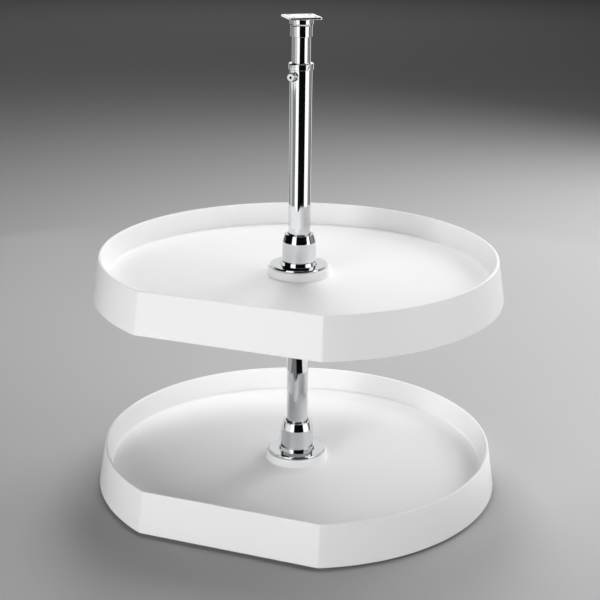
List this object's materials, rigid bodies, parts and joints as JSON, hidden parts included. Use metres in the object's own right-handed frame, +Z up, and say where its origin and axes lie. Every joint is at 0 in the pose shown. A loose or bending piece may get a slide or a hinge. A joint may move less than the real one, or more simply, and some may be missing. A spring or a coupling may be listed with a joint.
{
  "type": "two-shelf corner carousel",
  "caption": "D-shaped moulded shelves that turn on a chromed telescoping post between a cabinet floor and top, with a height-adjustable upper shelf.",
  "frame": {"origin": "middle of the underside of the base flange, on the cabinet floor and on the post's axis", "axes": "+Z up along the post; the flat front of both shelves faces -Y"},
  "size_m": [0.5074, 0.4815, 0.5885],
  "materials": {
    "white_polymer": "satin moulded polymer",
    "chromed_steel": "bright chrome plate",
    "zinc_plated_steel": "zinc plated",
    "nylon": "natural nylon"
  },
  "bodies": {
    "root": {"base_flange": "zinc_plated_steel", "outer_tube": "chromed_steel", "tube_ferrule": "chromed_steel", "tube_guide_ring": "nylon", "lock_screw_boss": "chromed_steel", "lower_thrust_washer": "nylon"},
    "height_post": {"inner_tube": "chromed_steel", "inner_tube_guide_plug": "nylon", "top_socket": "chromed_steel", "top_lock_ring": "chromed_steel", "top_stud": "zinc_plated_steel", "top_plate": "chromed_steel"},
    "lock_screw": {"lock_screw": "chromed_steel"},
    "lower_shelf": {"lower_tray": "white_polymer", "lower_hub": "chromed_steel", "lower_hub_bush": "nylon", "lower_hub_screw_1": "zinc_plated_steel", "lower_hub_screw_2": "zinc_plated_steel", "lower_hub_screw_3": "zinc_plated_steel"},
    "shelf_carrier": {"shelf_collar": "zinc_plated_steel", "shelf_collar_screw": "zinc_plated_steel", "upper_thrust_washer": "nylon"},
    "upper_shelf": {"upper_tray": "white_polymer", "upper_hub": "chromed_steel", "upper_hub_bush": "nylon", "upper_hub_screw_1": "zinc_plated_steel", "upper_hub_screw_2": "zinc_plated_steel", "upper_hub_screw_3": "zinc_plated_steel"}
  },
  "joints": [
    {"name": "post_height", "type": "slide", "parent": "root", "child": "height_post", "axis": [0, 0, 1], "range_m": [-0.03, 0.07]},
    {"name": "lock_screw_turn", "type": "hinge", "parent": "root", "child": "lock_screw", "pos_m": [0, 0, 0.5187], "axis": [-0.2504, -0.9681, 0], "range_deg": [0, 720]},
    {"name": "lower_shelf_spin", "type": "hinge", "parent": "root", "child": "lower_shelf", "pos_m": [0, 0, 0], "axis": [0, 0, 1], "continuous": true},
    {"name": "upper_shelf_height", "type": "slide", "parent": "root", "child": "shelf_carrier", "axis": [0, 0, 1], "range_m": [-0.15, 0.17]},
    {"name": "upper_shelf_spin", "type": "hinge", "parent": "shelf_carrier", "child": "upper_shelf", "pos_m": [0, 0, 0.26], "axis": [0, 0, 1], "continuous": true}
  ]
}
